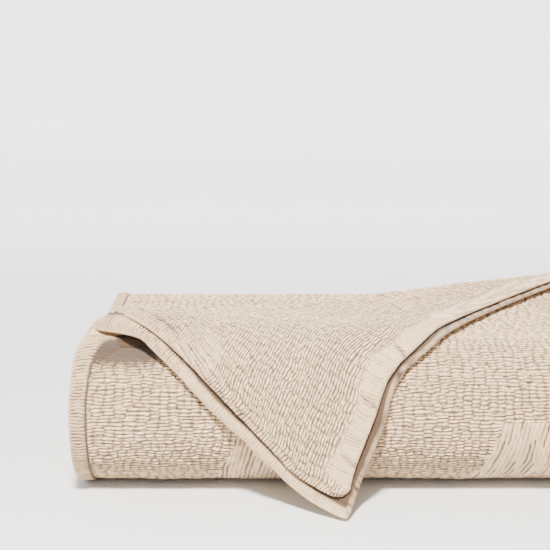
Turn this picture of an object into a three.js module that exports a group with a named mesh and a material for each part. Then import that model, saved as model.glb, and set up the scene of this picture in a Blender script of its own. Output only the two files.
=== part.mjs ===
import * as THREE from "three";

// Folded woven coverlet: one long strip of cloth, doubled and laid back and forth, as one solid.
// Millimetres. X runs along the long side, Y to the rear, Z up from the surface it lies on.

const WIDTH = 720;
const THICK = 5.4;
const PITCH = 8;
const LAYERS = 12;
const OUTER_R = (LAYERS - 0.5) * PITCH;
const MID = OUTER_R + THICK / 2;

// Turned-back corner: the ridge runs to the rear right from the left end of the shoulder
const RIDGE = { angle: THREE.MathUtils.degToRad(22), start: 0 };
const CURL = { lift: 12, liftLeft: 31, depth: 8, depthLeft: 19, reach: 105 };
const EDGE_SAG = { lower: 17, upper: 7, width: 24, reach: 88 };
const RAMP = { leave: THREE.MathUtils.degToRad(18), toe: 60 };
const HEM = [
  { inset: 0, fill: 0.5 },
  { inset: 4, fill: 1.0 },
  { inset: 14, fill: 0.74 },
  { inset: 19, fill: 1.0 },
];

// Edges of the turned-back corner, as run down from the shoulder and place across
const CORNER_LEFT = {
  lower: [
    { down: -40, across: -12 }, { down: -8, across: 21 }, { down: 14, across: 53 },
    { down: 30, across: 73 }, { down: 50, across: 86 }, { down: 71, across: 103 }, { down: 93, across: 124 },
    { down: 143, across: 173 }, { down: 181, across: 214 }, { down: 221, across: 256 },
    { down: 246, across: 288 }, { down: 262, across: 310 }, { down: 276, across: 331 },
  ],
  upper: [
    { down: -40, across: 10 }, { down: 20, across: 69 }, { down: 63, across: 111 },
    { down: 104, across: 153 }, { down: 168, across: 215 }, { down: 207, across: 251 },
    { down: 222, across: 268 }, { down: 240, across: 294 }, { down: 257, across: 326 },
  ],
};
const CORNER_RIGHT = {
  lower: [
    { down: -292, across: 722 }, { down: -105, across: 548 }, { down: 46, across: 450 },
    { down: 97, across: 403 }, { down: 159, across: 382 }, { down: 222, across: 355 },
    { down: 279, across: 334 },
  ],
  upper: [
    { down: -292, across: 720 }, { down: -105, across: 544 }, { down: 53, across: 437 },
    { down: 102, across: 396 }, { down: 156, across: 375 }, { down: 222, across: 348 },
    { down: 259, across: 336 },
  ],
};
const CORNER_TIP = { lower: 278, upper: 257 };

// Rear turns, from the bottom up: layers joined outside and inside, height side, and rear-most place
const REAR_TURNS = [
  { outer: [1, 4], inner: [2, 3], side: -1, rear: 407 },
  { outer: [5, 8], inner: [6, 7], side: -1, rear: 413 },
  { outer: [9, 12], inner: [10, 11], side: -1, rear: 404 },
  { outer: [7, 10], inner: [8, 9], side: 1, rear: 402 },
  { outer: [3, 6], inner: [4, 5], side: 1, rear: 410 },
];
const HALF_FOLD_REAR = 398;

// How far each layer's left and right ends stand from the plain width
const LAYER_ENDS = [
  { left: 0, right: 0 }, { left: 11, right: -3 }, { left: -3, right: 1 }, { left: 3, right: -2 },
  { left: 1, right: -4 }, { left: -2, right: 2 }, { left: 4, right: -1 }, { left: 0, right: 3 },
  { left: -4, right: -3 }, { left: 2, right: 1 }, { left: -1, right: -2 }, { left: 3, right: 0 },
];

const smooth = (v, lo, hi) => THREE.MathUtils.smoothstep(v, lo, hi);
const ridgeRun = (x) => RIDGE.start - x * Math.tan(RIDGE.angle);

// Smooth curve through a table of edge places
function along(table, down) {
  let i = 0;
  while (i < table.length - 2 && down > table[i + 1].down) i += 1;
  const at = (k) => table[Math.min(Math.max(k, 0), table.length - 1)];
  const slope = (k) => {
    const a = at(k - 1);
    const b = at(k + 1);
    return (b.across - a.across) / (b.down - a.down);
  };
  const p = at(i);
  const q = at(i + 1);
  const span = q.down - p.down;
  const t = (down - p.down) / span;
  const t2 = t * t;
  const t3 = t2 * t;
  return (2 * t3 - 3 * t2 + 1) * p.across + (t3 - 2 * t2 + t) * span * slope(i)
    + (-2 * t3 + 3 * t2) * q.across + (t3 - t2) * span * slope(i + 1);
}

// Lays a flat place (across, run down from the shoulder) over the front at a height above layer 1
function drape(x, run, high) {
  const r = OUTER_R + high;
  if (run <= 0) return [x, MID - run, MID + r];
  const leave = RAMP.leave;
  const arc = (Math.PI / 2 - leave) * r;
  if (run <= arc) {
    const a = Math.PI / 2 - run / r;
    return [x, MID - r * Math.cos(a), MID + r * Math.sin(a)];
  }
  const steep = Math.PI / 2 - leave;
  const base = OUTER_R + CURL.lift;
  const out = high - CURL.lift;
  const y0 = MID - base * Math.cos(leave);
  const z0 = MID + base * Math.sin(leave);
  const drop = RAMP.toe * (1 - Math.cos(steep));
  const straight = (z0 - THICK / 2 - drop) / Math.sin(steep);
  const past = run - arc;
  const line = Math.min(past, straight);
  const toe = RAMP.toe - out;
  const a = Math.max(0, steep - Math.max(past - straight, 0) / toe);
  const flat = Math.max(0, past - straight - steep * toe);
  const y = y0 - line * Math.cos(steep) - RAMP.toe * (Math.sin(steep) - Math.sin(a)) - flat;
  const z = z0 - line * Math.sin(steep) - RAMP.toe * (Math.cos(a) - Math.cos(steep));
  return [x, y - out * Math.sin(a), z + out * Math.cos(a)];
}

// A folded stack is a little thicker at the rear, bows out at its front left, and is uneven behind
function settle([x, y, z]) {
  const rear = smooth(y, 170, 400);
  const front = smooth(MID + 70 - y, 0, MID + 45);
  const bow = -12 * front * Math.max(0, 1 - x / 80);
  const bowRight = 8 * front * Math.max(0, 1 - (WIDTH - x) / 80);
  const z2 = z + 0.07 * (z - THICK / 2) * rear;
  const shift = 0.011 * Math.max(0, y - MID) * Math.sin(x / 130 + z / 60);
  return [x + bow + bowRight, y + shift, z2];
}

// A sheet of triangles with a thickness at each point, closed into a solid at the end
class Cloth {
  constructor() {
    this.place = [];
    this.fill = [];
    this.tri = [];
  }

  point(p, fill = 1) {
    this.place.push(new THREE.Vector3(...settle(p)));
    this.fill.push(fill);
    return this.place.length - 1;
  }

  face(a, b, c) {
    if (a === b || b === c || a === c) return;
    this.tri.push([a, b, c]);
  }

  // Joins two rows of points: hems and equal rows point to point, the rest by shorter diagonals
  zip(rowA, rowB, flip = false) {
    if (rowA.length > 1 && rowA.length === rowB.length) {
      for (let k = 1; k < rowA.length; k += 1) {
        this.stitch(rowA.slice(k - 1, k + 1), rowB.slice(k - 1, k + 1), flip);
      }
      return;
    }
    const near = rowA.left === rowB.left ? rowA.left || 0 : 0;
    const far = rowA.right === rowB.right ? rowA.right || 0 : 0;
    const cut = (row) => [
      row.slice(0, near),
      row.slice(Math.max(near - 1, 0), row.length - Math.max(far - 1, 0)),
      far ? row.slice(row.length - far) : [],
    ];
    const [leftA, midA, rightA] = cut(rowA);
    const [leftB, midB, rightB] = cut(rowB);
    if (near > 1) this.zip(leftA, leftB, flip);
    this.stitch(midA, midB, flip);
    if (far > 1) this.zip(rightA, rightB, flip);
  }

  stitch(rowA, rowB, flip) {
    let i = 0;
    let j = 0;
    const far = (a, b) => this.place[a].distanceToSquared(this.place[b]);
    while (i < rowA.length - 1 || j < rowB.length - 1) {
      const canA = i < rowA.length - 1;
      const canB = j < rowB.length - 1;
      const stepA = canA && (!canB || far(rowA[i + 1], rowB[j]) <= far(rowA[i], rowB[j + 1]));
      const c = stepA ? rowA[i + 1] : rowB[j + 1];
      if (flip) this.face(rowB[j], rowA[i], c);
      else this.face(rowA[i], rowB[j], c);
      if (stepA) i += 1;
      else j += 1;
    }
  }

  solid() {
    const count = this.place.length;
    const normal = this.place.map(() => new THREE.Vector3());
    const edges = new Map();
    const ab = new THREE.Vector3();
    const ac = new THREE.Vector3();
    for (const t of this.tri) {
      const [a, b, c] = t;
      ab.subVectors(this.place[b], this.place[a]);
      ac.subVectors(this.place[c], this.place[a]);
      const n = ab.clone().cross(ac);
      for (const k of t) normal[k].add(n);
      for (const [p, q] of [[a, b], [b, c], [c, a]]) {
        const back = `${q},${p}`;
        if (edges.has(back)) edges.delete(back);
        else edges.set(`${p},${q}`, [p, q]);
      }
    }
    const position = [];
    for (const side of [1, -1]) {
      for (let k = 0; k < count; k += 1) {
        const n = normal[k].clone().normalize().multiplyScalar(side * this.fill[k] * THICK / 2);
        const p = this.place[k].clone().add(n);
        position.push(p.x, p.y, p.z);
      }
    }
    const index = [];
    for (const [a, b, c] of this.tri) {
      index.push(a, b, c, c + count, b + count, a + count);
    }
    for (const [p, q] of edges.values()) {
      index.push(q, p, p + count, q, p + count, q + count);
    }
    return { position, index };
  }
}

// Places across a layer, from its left hem to its right one, with the fill of each
function acrossLayer(layer, spacing) {
  const ends = LAYER_ENDS[layer - 1];
  const left = ends.left;
  const right = WIDTH + ends.right;
  if (spacing === null) {
    return [0, 1 / 3, 2 / 3, 1].map((t) => ({ x: left + (right - left) * t, fill: 1 }));
  }
  const list = HEM.map((h) => ({ x: left + h.inset, fill: h.fill }));
  const from = left + 44;
  const to = right - 44;
  const steps = Math.round((to - from) / spacing);
  for (let k = 0; k <= steps; k += 1) list.push({ x: from + (to - from) * k / steps, fill: 1 });
  for (const h of [...HEM].reverse()) list.push({ x: right - h.inset, fill: h.fill });
  return list;
}

// One row of a layer at a place of the section
function layerRow(cloth, layer, y, z, spacing = null) {
  return acrossLayer(layer, spacing).map((c) => cloth.point([c.x, y, z], c.fill));
}

// The turned-back corner and the top run of layer 1 or 2, from the row where its front ends
function cornerRows(cloth, layer, shoulderRow, flip) {
  const name = layer === 1 ? "lower" : "upper";
  const deep = (layer - 1) * PITCH;
  const columns = acrossLayer(layer, 58);
  const slope = Math.tan(RIDGE.angle);
  const lead = 5;
  const drifting = (x) => slope * (1 - 0.85 * smooth(x, 430, WIDTH));
  const leftEnd = LAYER_ENDS[layer - 1].left;
  const spread = (x) => Math.exp(-((x / CURL.reach) ** 2));
  const curlAt = (x) => {
    const near = spread(x / Math.cos(RIDGE.angle));
    const lift = CURL.lift + (CURL.liftLeft - CURL.lift) * near;
    const depth = CURL.depth + (CURL.depthLeft - CURL.depth) * near + deep;
    const half = lift / 2 + deep;
    const length = Math.PI * Math.sqrt((depth * depth + half * half) / 2);
    return { lift, depth, half, length };
  };
  const sagAt = (inset, apart) => {
    const edge = Math.max(0, 1 - inset / EDGE_SAG.width);
    return EDGE_SAG[name] * edge * edge * Math.exp(-((apart / EDGE_SAG.reach) ** 2));
  };
  const zip = (a, b) => cloth.zip(a, b, flip);

  // Point of a strand at length c past the ridge, on the curl or before it
  const strand = (x, c) => {
    const run = ridgeRun(x);
    if (c <= 0) return drape(x, run - c, -deep);
    const curl = curlAt(x);
    const turn = Math.PI * c / curl.length;
    const drift = curl.length * drifting(x) * turn / Math.PI;
    const sag = sagAt(x - leftEnd, 0) * smooth(turn, 0.3 * Math.PI, 0.95 * Math.PI);
    const back = curl.depth * Math.sin(turn);
    const px = x + drift * Math.cos(RIDGE.angle) - back * Math.sin(RIDGE.angle);
    const ps = run - drift * Math.sin(RIDGE.angle) - back * Math.cos(RIDGE.angle);
    return drape(px, ps, curl.lift / 2 - curl.half * Math.cos(turn) - sag);
  };

  // Top run, then the curl over the ridge
  let last = shoulderRow;
  for (const t of [0.4, 1]) {
    const row = columns.map((c) => {
      const end = ridgeRun(c.x) + lead;
      return cloth.point(drape(c.x, 10 + (end - 10) * t, -deep), c.fill);
    });
    zip(last, row);
    last = row;
  }
  const CURL_STEPS = 8;
  for (let k = 1; k <= CURL_STEPS; k += 1) {
    const row = columns.map((c) => {
      const end = curlAt(c.x).length;
      return cloth.point(strand(c.x, -lead + (end + lead) * k / CURL_STEPS), c.fill);
    });
    zip(last, row);
    last = row;
  }

  // Flat places of the curl's upper end, one a column
  const topEnds = columns.map((c, k) => {
    const drift = curlAt(c.x).length * drifting(c.x);
    return {
      id: last[k],
      x: c.x + drift * Math.cos(RIDGE.angle),
      run: ridgeRun(c.x) - drift * Math.sin(RIDGE.angle),
      column: c.x,
    };
  });
  const corner = topEnds[0];

  const lift = (x, run) => {
    const apart = Math.hypot(x - corner.x, run - corner.run);
    const near = Math.exp(-((apart / CURL.reach) ** 2));
    const inset = (x - along(CORNER_LEFT[name], run)) / 1.42;
    return CURL.lift + (CURL.liftLeft - CURL.lift) * near + deep - sagAt(Math.max(0, inset), apart);
  };
  const place = (x, run, fill = 1) => cloth.point(drape(x, run, lift(x, run)), fill);

  // Inner and right-hand points of a level row of the corner
  const fillRow = (row, fromX, run) => {
    const right = along(CORNER_RIGHT[name], run);
    const lean = 1.12;
    const hems = HEM.map((h) => ({ x: right - h.inset * lean, fill: h.fill })).reverse();
    const room = hems[0].x - fromX;
    const steps = Math.max(1, Math.round(room / 62));
    for (let k = 1; k < steps; k += 1) row.push(place(fromX + room * k / steps, run));
    row.right = 0;
    for (const h of hems) {
      if (h.x < fromX + 5) continue;
      row.push(place(h.x, run, h.fill));
      row.right += 1;
    }
    return row;
  };

  // Rows beside the ridge, from its far end to the left hem
  const main = topEnds.filter((e, k) => k === 0 || (k >= HEM.length && k < topEnds.length - HEM.length));
  let above = topEnds.slice(-HEM.length).map((e) => e.id);
  for (let k = main.length - 1; k >= 1; k -= 1) {
    const row = fillRow([main[k].id], main[k].x, main[k].run);
    zip(above, row);
    above = row;
  }
  const hemEnds = topEnds.slice(0, HEM.length).map((e) => e.id);
  const rightCount = above.right;
  above = [...hemEnds, ...above];
  above.left = HEM.length;
  above.right = rightCount;

  // Rows below, between the left hem and the right one
  const tip = CORNER_TIP[name];
  const runs = [corner.run, 10, 24, 38, 52, 66, 80, 94, 108, 125, 150, 178, 194, 208, 220, 232, 244];
  const rows = [...runs.filter((r) => r < tip - 8), tip - 5, tip];
  rows.forEach((run, k) => {
    const left = k === 0 ? corner.x : along(CORNER_LEFT[name], run);
    const right = along(CORNER_RIGHT[name], run);
    const row = [k === 0 ? corner.id : place(left, run, HEM[0].fill)];
    let from = left;
    for (const h of HEM.slice(1)) {
      const x = left + h.inset * 1.42;
      if (x < (left + right) / 2 - 3) {
        row.push(place(x, run, k === rows.length - 1 ? 0.5 : h.fill));
        from = x;
      }
    }
    row.left = row.length;
    fillRow(row, from, run);
    zip(above, row);
    above = row;
  });
}

// Rows of one layer's front turn, from its lower end to its upper one
function frontTurn(cloth, layer) {
  const r = (LAYERS - layer + 0.5) * PITCH;
  const steps = layer === 1 ? 14 : Math.max(4, Math.round(r / 8));
  const topAngle = layer <= 2 ? Math.PI / 2 - 10 / r : Math.PI / 2;
  const rows = [];
  for (let k = 0; k <= steps; k += 1) {
    const a = -Math.PI / 2 + (topAngle + Math.PI / 2) * k / steps;
    const spacing = layer === 1 && k > 0 ? 158 : null;
    rows.push(layerRow(cloth, layer, MID - r * Math.cos(a), MID + r * Math.sin(a), spacing));
  }
  return rows;
}

function makeCoverlet() {
  const cloth = new Cloth();
  const radius = (layer) => (LAYERS - layer + 0.5) * PITCH;
  const fronts = {};
  for (let layer = 1; layer <= LAYERS; layer += 1) fronts[layer] = frontTurn(cloth, layer);

  // Each layer is walked up or down; a rising one has the outside of the stack on its left
  const order = [1, 4, 5, 8, 9, 12, 11, 10, 7, 6, 3, 2];
  const turnFor = (a, b) => {
    for (const t of REAR_TURNS) {
      const size = Math.abs(a - b);
      const pair = size === 3 ? t.outer : t.inner;
      if (pair.includes(a) && pair.includes(b)) return t;
    }
    return null;
  };
  let last = null;
  order.forEach((layer, k) => {
    const down = k % 2 === 0;
    const rows = down ? [...fronts[layer]].reverse() : fronts[layer];
    if (last) cloth.zip(last, rows[0]);
    for (let i = 1; i < rows.length; i += 1) cloth.zip(rows[i - 1], rows[i]);
    last = rows[rows.length - 1];
    if (k === order.length - 1) return;

    const next = order[k + 1];
    const turn = turnFor(layer, next);
    const side = down ? -1 : 1;
    const r1 = radius(layer);
    const r2 = radius(next);
    const half = Math.abs(r1 - r2) / 2;
    const reach = turn ? (turn.rear - THICK / 2 - 1.5 * PITCH) : HALF_FOLD_REAR - half;
    const centre = MID + side * (r1 + r2) / 2;
    const runs = layer === 1 ? [MID + 14, (MID + reach) / 2, reach - 14, reach] : [(MID + reach) / 2, reach];
    for (const y of runs) {
      const row = layerRow(cloth, layer, y, MID + side * r1);
      cloth.zip(last, row);
      last = row;
    }
    const steps = half > PITCH ? 6 : 4;
    for (let s = 1; s <= steps; s += 1) {
      const a = Math.PI * s / steps;
      const z = centre + side * (r1 > r2 ? 1 : -1) * half * Math.cos(a);
      const y = reach + half * Math.sin(a);
      const row = layerRow(cloth, s * 2 <= steps ? layer : next, y, z);
      cloth.zip(last, row);
      last = row;
    }
    const halfway = layerRow(cloth, next, (MID + reach) / 2, MID + side * r2);
    cloth.zip(last, halfway);
    last = halfway;
  });

  cornerRows(cloth, 1, fronts[1][fronts[1].length - 1], true);
  cornerRows(cloth, 2, fronts[2][fronts[2].length - 1], false);
  return cloth.solid();
}

const { position, index } = makeCoverlet();
const box = new THREE.Box3().setFromArray(position);
const geometry = new THREE.BufferGeometry();
geometry.setAttribute("position", new THREE.Float32BufferAttribute(position, 3));
geometry.setIndex(index);
geometry.translate(-(box.min.x + box.max.x) / 2, -(box.min.y + box.max.y) / 2, -box.min.z);
geometry.computeVertexNormals();

const cloth = new THREE.MeshStandardMaterial({ color: 0xd6c7b6, roughness: 0.95, metalness: 0 });
cloth.name = "cloth";
const coverlet = new THREE.Mesh(geometry, cloth);
coverlet.name = "coverlet";

const group = new THREE.Group();
group.name = "folded_woven_coverlet";
group.add(coverlet);
export default group;
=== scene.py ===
import math

import bpy
import numpy as np
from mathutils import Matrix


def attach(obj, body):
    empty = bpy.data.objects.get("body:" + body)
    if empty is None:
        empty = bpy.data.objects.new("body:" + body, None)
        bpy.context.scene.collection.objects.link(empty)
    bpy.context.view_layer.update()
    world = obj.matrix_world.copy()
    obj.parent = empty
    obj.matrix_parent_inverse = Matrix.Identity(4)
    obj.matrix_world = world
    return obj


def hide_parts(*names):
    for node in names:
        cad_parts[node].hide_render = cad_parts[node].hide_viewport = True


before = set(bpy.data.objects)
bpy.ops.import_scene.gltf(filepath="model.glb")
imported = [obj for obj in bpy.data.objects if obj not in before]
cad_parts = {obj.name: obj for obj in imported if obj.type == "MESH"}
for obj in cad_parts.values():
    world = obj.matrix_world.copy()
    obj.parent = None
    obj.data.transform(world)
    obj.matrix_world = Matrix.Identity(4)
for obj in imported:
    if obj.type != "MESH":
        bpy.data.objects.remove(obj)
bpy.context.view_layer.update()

# Camera: the photograph's angle, in metres and degrees
CAMERA_LENS = 73.64
CAMERA_PLACE = (-0.11006, -1.52090, 0.54919)
CAMERA_TILT_DOWN = 10.819
camera_data = bpy.data.cameras.new("camera")
camera_data.lens = CAMERA_LENS
camera_data.sensor_width = 36.0
camera = bpy.data.objects.new("camera", camera_data)
camera.location = CAMERA_PLACE
camera.rotation_euler = (math.radians(90 - CAMERA_TILT_DOWN), 0, 0)
bpy.context.scene.collection.objects.link(camera)
bpy.context.scene.camera = camera

# Named sizes of the folded cloth, in millimetres, as in the model's source
WIDTH = 720.0
THICK = 5.4
PITCH = 8.0
LAYERS = 12
OUTER_R = (LAYERS - 0.5) * PITCH
MID = OUTER_R + THICK / 2
PLACE_SHIFT = np.array([357.258, 170.897, 0.0])
RIDGE_ANGLE = math.radians(22)
CURL_LIFT = 12.0
CURL_LIFT_LEFT = 31.0
CURL_DEPTH = 8.0
CURL_DEPTH_LEFT = 19.0
CURL_REACH = 105.0
SAG = {"lower": 22.0, "upper": 8.0}
SAG_WIDTH = 24.0
SAG_REACH = 88.0
RAMP_LEAVE = math.radians(18)
RAMP_TOE = 60.0
RIDGE_LEAD = 5.0

# Edges of the turned-back corner: run down from the shoulder, place across
CORNER_LEFT = {
    "lower": [(-40, -12), (-8, 21), (14, 53), (30, 73), (50, 86), (71, 103), (93, 124), (143, 173),
              (181, 214), (221, 256), (246, 288), (262, 310), (276, 331)],
    "upper": [(-40, 10), (20, 69), (63, 111), (104, 153), (168, 215), (207, 251), (222, 268),
              (240, 294), (257, 326)],
}
CORNER_RIGHT = {
    "lower": [(-292, 722), (-105, 548), (46, 450), (97, 403), (159, 382), (222, 355), (279, 334)],
    "upper": [(-292, 720), (-105, 543), (53, 434), (102, 392), (156, 371), (222, 345), (259, 336)],
}
CORNER_TIP = {"lower": 278.0, "upper": 257.0}
TIP_ROUND = {"lower": 7, "upper": 15}
EDGE_SEED = {"lower": 90, "upper": 94}
CORNER_EDGE_ROUND = 4.2

# Rough size of the corner's body, and how much of its grid is evened at the tip
BODY_WIDTH = 690
BODY_LENGTH = 430
HEM_SPAN = 420
RELAX_SPAN = 44
RELAX_ROUNDS = 900

# Rear turns: the layers joined, height side, rear-most place
REAR_TURNS = [
    ((1, 4), -1, 407.0), ((2, 3), -1, 407.0), ((5, 8), -1, 413.0), ((6, 7), -1, 413.0),
    ((9, 12), -1, 404.0), ((10, 11), -1, 404.0), ((7, 10), 1, 402.0), ((8, 9), 1, 402.0),
    ((3, 6), 1, 410.0), ((4, 5), 1, 410.0),
]
HALF_FOLD_REAR = 398.0

# Mesh steps round a rear turn, also of a narrow one and of the one that shows
TURN_STEPS = 14
NARROW_TURN_STEPS = 9
SHOWN_TURN_STEPS = 22

# Order of the layers along the strip
WALK = [1, 4, 5, 8, 9, 12, 11, 10, 7, 6, 3, 2]

# How far each layer is moved at its left and right end
LAYER_ENDS = [(0, 0), (11, -3), (-3, 1), (3, -2), (1, -4), (-2, 2), (4, -1), (0, 3), (-4, -3), (2, 1),
              (-1, -2), (3, 0)]

# Where the bottom runs of layers 1 and 2 end, where their top runs start, and where the rear turn of
# layers 6 and 3 starts
BOTTOM_END = 250.0
BOTTOM_STEP = 24
SHOULDER_RUN = 10
TURN_START = 384.0

# Inner side of the left hem where it turns over into the arch: run down, place across
ARCH_HEM = [(-20, 48), (12, 38), (33, 29.5), (47, 25), (63, 22), (84, 20.5), (109, 19), (400, 19)]

# End of the arch across, its padding and painted shade, and the depth of the hollow below it
ARCH_END = 125.0
ARCH_STEP = 6.0
ARCH_FILL = 4.5
ARCH_PAINTED_SHADE = 0.96
HOLLOW_DEPTH = 11.0

# Pattern of the weave, in millimetres
DASH_PITCH = 4.6
DASH_DEPTH = 3.3
CORNER_DASH_PITCH = 4.3
CORNER_DASH_DEPTH = 2.9
LOZENGE_CENTRE = (246, 300)
LOZENGE_PERIOD = (331, 640)
LOZENGE_HALF = (104, 275)
LOZENGE_CUT = 160
LOZENGE_STEP = (5.8, 9.2)
CORNER_PATCH = (150, 72)
CORNER_PATCH_HALF = (36, 64)
PLEAT_PITCH = 5.8
RIB_PITCH = 4.2
HEM_WIDTH = 19.0
HEM_SEAM = 2.5
PUCKER_SPOTS = (42, 118, 196)

# Distances of the mesh columns from a side edge, closest at the rim and at the hem's seam, and those
# that a plain side keeps
HEM_STEPS = [0, 0.4, 1, 1.8, 2.7, 4, 6, 8, 10, 12, 14, 16, 17, 18, 19, 20, 21.5, 23.5]
KEPT_STEPS = (1, 2.7, 12, 19, 23.5)

# Columns across layer 1: from, to, and the step between them, closest where the pleated lozenges lie
FRONT_COLUMNS = [(23.5, 148, 2.4), (148, 346, 1.9), (346, 470, 2.5), (470, 674, 1.95), (674, 696.5, 2.4)]

# Painted light of cloth without real relief, from 0 for full painted shade, as in a crease, to 1
PLAIN_PAINTED_LIGHT = 0.7

# Colours of the yarn, and the painted shade of its creases, as screen values
CLOTH_WARM = (238, 199, 153)
CLOTH_PALE = (245, 211, 169)
CLOTH_DEEP = (204, 163, 119)
CREASE_PAINTED_SHADE = (80, 60, 42)


def smooth(v, lo, hi):
    """0 up to lo, 1 from hi, with a soft step between."""
    t = np.clip((v - lo) / (hi - lo), 0, 1)
    return t * t * (3 - 2 * t)


def radius(layer):
    """Middle radius of a layer's front turn."""
    return (LAYERS - layer + 0.5) * PITCH


def sides(layer):
    """Places across of a layer's left and right edges."""
    left, right = LAYER_ENDS[layer - 1]
    return left, WIDTH + right


def ridge_run(x):
    """Run at which a place across reaches the ridge."""
    return -x * math.tan(RIDGE_ANGLE)


def along(table, down):
    """Smooth curve through a table of edge places."""
    t = np.asarray(table, float)
    d, a = t[:, 0], t[:, 1]
    last = len(d) - 1
    down = np.asarray(down, float)
    i = np.clip(np.searchsorted(d, down, side="left") - 1, 0, last - 1)
    k = np.arange(last + 1)
    lo, hi = np.maximum(k - 1, 0), np.minimum(k + 1, last)
    slope = (a[hi] - a[lo]) / (d[hi] - d[lo])
    span = d[i + 1] - d[i]
    u = (down - d[i]) / span
    u2, u3 = u * u, u * u * u
    return ((2 * u3 - 3 * u2 + 1) * a[i] + (u3 - 2 * u2 + u) * span * slope[i]
            + (-2 * u3 + 3 * u2) * a[i + 1] + (u3 - u2) * span * slope[i + 1])


def drape(x, run, high):
    """Lays a flat place over the front, at a height above layer 1."""
    x, run, high = np.broadcast_arrays(np.asarray(x, float), run, high)
    r = OUTER_R + high
    steep = math.pi / 2 - RAMP_LEAVE
    arc = steep * r
    a = math.pi / 2 - np.clip(run, 0, arc) / r
    y_round, z_round = MID - r * np.cos(a), MID + r * np.sin(a)
    base, out = OUTER_R + CURL_LIFT, high - CURL_LIFT
    y0 = MID - base * math.cos(RAMP_LEAVE)
    z0 = MID + base * math.sin(RAMP_LEAVE)
    drop = RAMP_TOE * (1 - math.cos(steep))
    straight = (z0 - THICK / 2 - drop) / math.sin(steep)
    past = np.maximum(run - arc, 0)
    line = np.minimum(past, straight)
    toe = RAMP_TOE - out
    bend = np.maximum(0, steep - np.maximum(past - straight, 0) / toe)
    flat = np.maximum(0, past - straight - steep * toe)
    y_ramp = y0 - line * math.cos(steep) - RAMP_TOE * (math.sin(steep) - np.sin(bend)) - flat
    z_ramp = z0 - line * math.sin(steep) - RAMP_TOE * (np.cos(bend) - math.cos(steep))
    y_ramp = y_ramp - out * np.sin(bend)
    z_ramp = z_ramp + out * np.cos(bend)
    y = np.where(run <= 0, MID - run, np.where(run <= arc, y_round, y_ramp))
    z = np.where(run <= 0, MID + r, np.where(run <= arc, z_round, z_ramp))
    return np.stack([x, y, z], -1)


def settle(p):
    """The stack is thicker at the rear, bows out at its front corners and is uneven behind."""
    x, y, z = p[..., 0], p[..., 1], p[..., 2]
    rear = smooth(y, 170, 400)
    front = smooth(MID + 70 - y, 0, MID + 45)
    bow = -12 * front * np.maximum(0, 1 - x / 80) + 8 * front * np.maximum(0, 1 - (WIDTH - x) / 80)
    z2 = z + 0.07 * (z - THICK / 2) * rear
    shift = 0.011 * np.maximum(0, y - MID) * np.sin(x / 130 + z / 60)
    return np.stack([x + bow, y + shift, z2], -1)


def hash01(i, j, seed=0):
    """A fixed value from 0 to 1 for each cell."""
    v = np.sin(i * 127.1 + j * 311.7 + seed * 74.7) * 43758.5453
    return v - np.floor(v)


def noise(x, y, seed=0):
    """Smooth uneven values from -1 to 1."""
    i, j = np.floor(x), np.floor(y)
    u, v = x - i, y - j
    u, v = u * u * (3 - 2 * u), v * v * (3 - 2 * v)
    low = hash01(i, j, seed) * (1 - u) + hash01(i + 1, j, seed) * u
    high = hash01(i, j + 1, seed) * (1 - u) + hash01(i + 1, j + 1, seed) * u
    return 2 * (low * (1 - v) + high * v) - 1


def line_noise(place, seed):
    """Smooth uneven values along a line."""
    return noise(place, 0 * place, seed)


def blend(a, b, share):
    """a where the share is 1 and b where it is 0."""
    return a * share + b * (1 - share)


def lengths(curve):
    """Length along a curve at each of its places."""
    return np.concatenate([[0], np.cumsum(np.linalg.norm(np.diff(curve, axis=0), axis=1))])


# Weave relief
def dashes(x, s, pitch):
    """Short raised dashes in rows, with their ends lined up in small blocks; 0 low, 1 high."""
    s = s + 1.6 * noise(x / 36, s / 20, 1) + 1.1 * noise(x / 10, s / 8, 2) + 0.45 * noise(x / 4, s / 3.4, 9)
    x = x + 2.4 * noise(x / 22, s / 10, 3) + 0.8 * noise(x / 6, s / 4, 10)
    row = np.floor(s / pitch)
    group = np.floor((row + np.floor(3 * hash01(np.floor(x / 47), 0, 4))) / 3)
    length = 8.5 + 7 * hash01(group, 1, 5)
    start = 40 * hash01(group, 2, 6)
    cell = np.floor((x + start) / length)
    u = (x + start) / length - cell
    step = 0.34 * pitch * (hash01(cell, group, 7) > 0.68)
    v = (s + step) / pitch
    count = np.floor(v)
    v = v - count
    ridge = np.sin(math.pi * v) ** 0.9
    gap = 2.6 / length
    ends = smooth(u, 0, gap) * smooth(1 - u, 0, gap)
    strength = 0.5 + 0.5 * hash01(cell, count, 8)
    bead = 0.5 + 0.5 * noise(x / 2.6, count * 1.7, 14)
    return ridge * (0.45 + 0.55 * ends) * (0.54 + 0.46 * bead) * (0.78 + 0.22 * strength), strength


def pleats(x, s):
    """Fine slanted creases that start and stop; 0 low, 1 high."""
    x = x + 0.22 * s + 2.6 * noise(x / 30, s / 50, 11) + 0.9 * noise(x / 9, s / 16, 15)
    v = x / PLEAT_PITCH
    cell = np.floor(v)
    f = v - cell
    part = np.floor((s + 60 * hash01(cell, 0, 13)) / 34)
    on = smooth(hash01(cell, part, 12), 0.1, 0.9)
    edge = 1 - smooth(np.abs(f - 0.5), 0.02, 0.36)
    return 0.64 - (0.16 + 0.42 * on) * edge + 0.1 * noise(x / 3, s / 9, 17)


def lozenge(x, s):
    """1 inside the pleated lozenges of the weave, with stepped edges."""
    ss = (np.floor(s / LOZENGE_STEP[1]) + 0.5) * LOZENGE_STEP[1]
    ragged = 5 * hash01(np.floor(s / LOZENGE_STEP[1]), 3, 16)
    xs = (np.floor((x + ragged) / LOZENGE_STEP[0]) + 0.5) * LOZENGE_STEP[0] - ragged
    (cx, cs), (px, ps) = LOZENGE_CENTRE, LOZENGE_PERIOD
    dx = (xs - cx + px / 2) % px - px / 2
    ds = (ss - cs + ps / 2) % ps - ps / 2
    near = np.abs(dx) / LOZENGE_HALF[0] + np.abs(ds) / LOZENGE_HALF[1] < 1
    return np.where(near & (np.abs(ds) < LOZENGE_CUT), 1.0, 0.0)


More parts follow.
